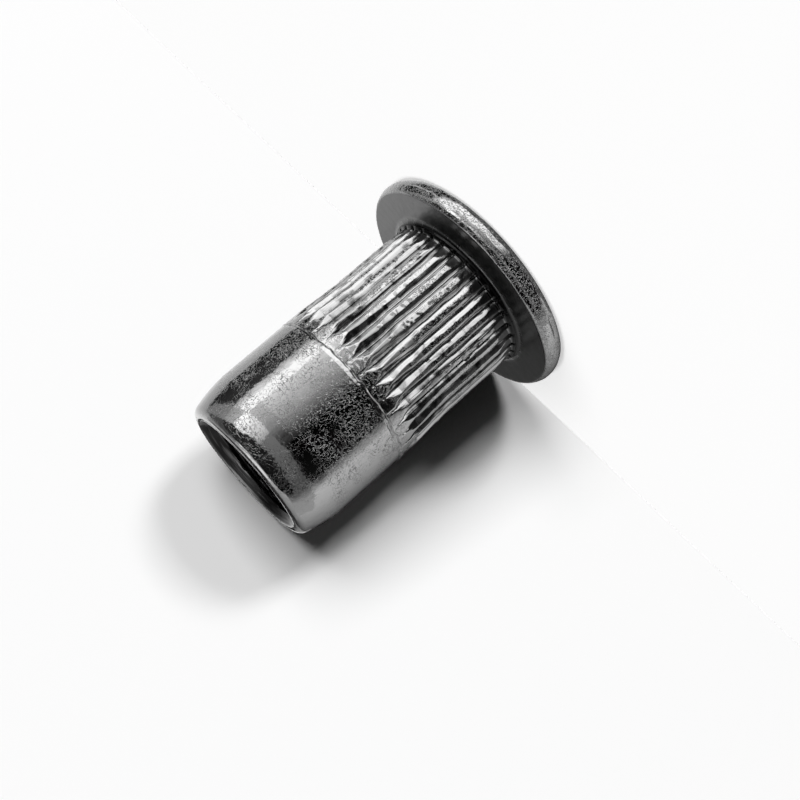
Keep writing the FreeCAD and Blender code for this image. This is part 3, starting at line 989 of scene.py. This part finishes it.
# %% Light tent
TENT_RADIUS = 450
PANEL_TURN = 3
PANEL_RISE = 6
PANELS = {
    "window": (-32, -18, -55, 7, 2.0, 2.0),
    "window_left": (-18, -7, -55, 7, 1.5, 0.7),
    "window_right": (-86, -32, -16, -3, 0.1, 1.35),
    "window_top": (-86, -32, -3, 7, 0.04, 1.0),
    "window_low": (-86, -32, -55, -16, 1.3, 2.1),
    "flag_left": (-7, 32, -16, 7, 0.06, 0.02),
    "gap_left": (-7, 32, -21, -16, 0.9, 0.7),
    "flag_low": (-7, 32, -55, -21, 0.04, 0.02),
    "side": (32, 82, -55, 34, 0.5, 1.0),
    "side_edge": (82, 86, -55, 20, 1.0, 0.9),
    "side_high": (82, 91, 20, 34, 1.0, 0.7),
    "back_low": (86, 110, -55, -3, 0.0, 0.02),
    "back_gap": (86, 110, -3, 5, 0.9, 0.6),
    "back": (86, 96, 5, 20, 0.0, 0.0),
    "back_right": (96, 110, 5, 20, 0.2, 0.4),
    "back_high": (91, 110, 20, 34, 0.0, 0.03),
    "far_side": (110, 165, -55, 34, 0.05, 0.65),
    "far_window": (165, 188, -28, 7, 0.68, 0.85),
    "far_slot": (165, 188, -34, -28, 0.1, 0.15),
    "far_window_low": (165, 188, -55, -34, 0.6, 0.7),
    "far_fade": (188, 206, -55, 7, 0.85, 0.02),
    "far_shelf": (165, 188, 7, 34, 0.52, 0.5),
    "shelf_fade": (188, 206, 7, 34, 0.5, 0.05),
    "flag_right": (206, 262, -16, 7, 0.01, 0.0),
    "gap_right": (206, 262, -21, -16, 0.09, 0.05),
    "flag_right_low": (206, 262, -55, -21, 0.02, 0.01),
    "front": (262, 274, -16, 7, 0.0, 0.1),
    "front_low": (262, 274, -55, -16, 0.1, 0.9),
    "shelf_right": (206, 290, 7, 18, 0.1, 0.3),
    "shelf_window": (-70, -26, 7, 18, 0.7, 2.4),
    "shelf_left": (-26, -7, 7, 18, 0.9, 0.5),
    "shelf_flag": (-7, 32, 7, 18, 0.4, 0.25),
    "rail": (206, 353, 18, 60, 0.0, 0.04),
    "rail_left": (-7, 32, 18, 60, 0.12, 0.12),
    "high_right": (206, 285, 60, 68, 0.0, 0.04),
    "high_window": (-75, -24, 60, 68, 0.2, 1.9),
    "high_gap": (-24, -7, 60, 68, 0.5, 0.4),
    "high_left": (-7, 60, 60, 68, 0.25, 0.5),
    "high_side": (32, 60, 34, 60, 0.3, 0.5),
    "high_back": (60, 120, 34, 76, 0.04, 0.04),
    "high_far": (120, 206, 34, 68, 0.35, 0.6),
    "ceiling": (120, 420, 68, 76, 0.75, 0.75),
    "zenith": (-90, 270, 76, 90, 1.4, 1.4),
    "table": (-90, 270, -90, -55, 0.12, 0.12),
}
print("tent of", len(PANELS), "panels")

# %% Panels


def panel_light(name):
    """Light stored on the panel's points; none of it reaches the paper by way of the nut."""
    material = bpy.data.materials.new(name)
    material.use_nodes = True
    tree = material.node_tree
    shader = tree.nodes["Principled BSDF"]
    shader.inputs["Base Color"].default_value = srgb("#000000")
    shader.inputs["Specular IOR Level"].default_value = 0.0
    shader.inputs["Emission Color"].default_value = srgb("#ffffff")
    glow = add_node(tree, "ShaderNodeAttribute", attribute_name="glow").node.outputs["Fac"]
    bounces = add_node(tree, "ShaderNodeLightPath").node.outputs["Diffuse Depth"]
    direct = add_node(tree, "ShaderNodeMath", {0: bounces, 1: 0.5}, operation="LESS_THAN")
    strength = add_node(tree, "ShaderNodeMath", {0: glow, 1: direct}, operation="MULTIPLY")
    tree.links.new(strength, shader.inputs["Emission Strength"])
    return material


def add_panel(name, start, stop, low, high, first, last):
    """One piece of the sphere, which only glossy reflections see."""
    across = max(1, round(abs(stop - start) / PANEL_TURN))
    upward = max(1, round((high - low) / PANEL_RISE))
    points, glow, faces = [], [], []
    for step in range(across + 1):
        share = step / across
        turn = math.radians(start + (stop - start) * share)
        for level in range(upward + 1):
            rise = math.radians(low + (high - low) * level / upward)
            points.append((
                TENT_RADIUS * math.cos(turn) * math.cos(rise) * MM,
                TENT_RADIUS * math.sin(turn) * math.cos(rise) * MM,
                (LENGTH / 2 + TENT_RADIUS * math.sin(rise)) * MM,
            ))
            glow.append(first + (last - first) * share)
    for step in range(across):
        for level in range(upward):
            corner = step * (upward + 1) + level
            faces.append((corner, corner + 1, corner + upward + 2, corner + upward + 1))
    mesh = bpy.data.meshes.new(name)
    mesh.from_pydata(points, [], faces)
    mesh.attributes.new("glow", "FLOAT", "POINT").data.foreach_set("value", glow)
    mesh.materials.append(tent_light)
    panel = bpy.data.objects.new(name, mesh)
    bpy.context.scene.collection.objects.link(panel)
    panel.visible_camera = False
    panel.visible_diffuse = False
    panel.visible_shadow = False


tent_light = panel_light("tent_light")
for name, sizes in PANELS.items():
    add_panel("panel_" + name, *sizes)

# %% [markdown]
# The lamps only make the shadow: soft ones from the upper left and the upper right of the picture, so
# that the shadow is dark beside the sleeve and fades below it, and one from above for the floor.

# %% Lamps
LAMPS = {
    "lamp_left": (-51, -2, 0.82, 1260),
    "lamp_right": (-69, -39, 0.37, 450),
    "lamp_floor": (-40, 80, 0.4, 900),
}
LAMP_DISTANCE = 2100


def add_lamp(name, azimuth, elevation, level, size):
    """A soft square lamp aimed at the nut; level is the share of white it gives paper that faces it."""
    lamp_data = bpy.data.lights.new(name, "AREA")
    lamp_data.size = size * MM
    lamp_data.energy = level * (math.pi * LAMP_DISTANCE * MM) ** 2
    lamp = bpy.data.objects.new(name, lamp_data)
    bpy.context.scene.collection.objects.link(lamp)
    turn, rise = math.radians(azimuth), math.radians(elevation)
    direction = Vector((math.cos(turn) * math.cos(rise), math.sin(turn) * math.cos(rise), math.sin(rise)))
    lamp.location = direction * LAMP_DISTANCE * MM + Vector((0, 0, LENGTH / 2 * MM))
    lamp.rotation_mode = "QUATERNION"
    lamp.rotation_quaternion = direction.to_track_quat("Z", "Y")
    lamp.visible_glossy = False


for name, values in LAMPS.items():
    add_lamp(name, *values)
print("lamps:", ", ".join(LAMPS))

# %% [markdown]
# ## Picture settings
#
# The Standard view transform shows a colour as it is written.

# %% Picture settings
bpy.context.scene.view_settings.view_transform = "Standard"
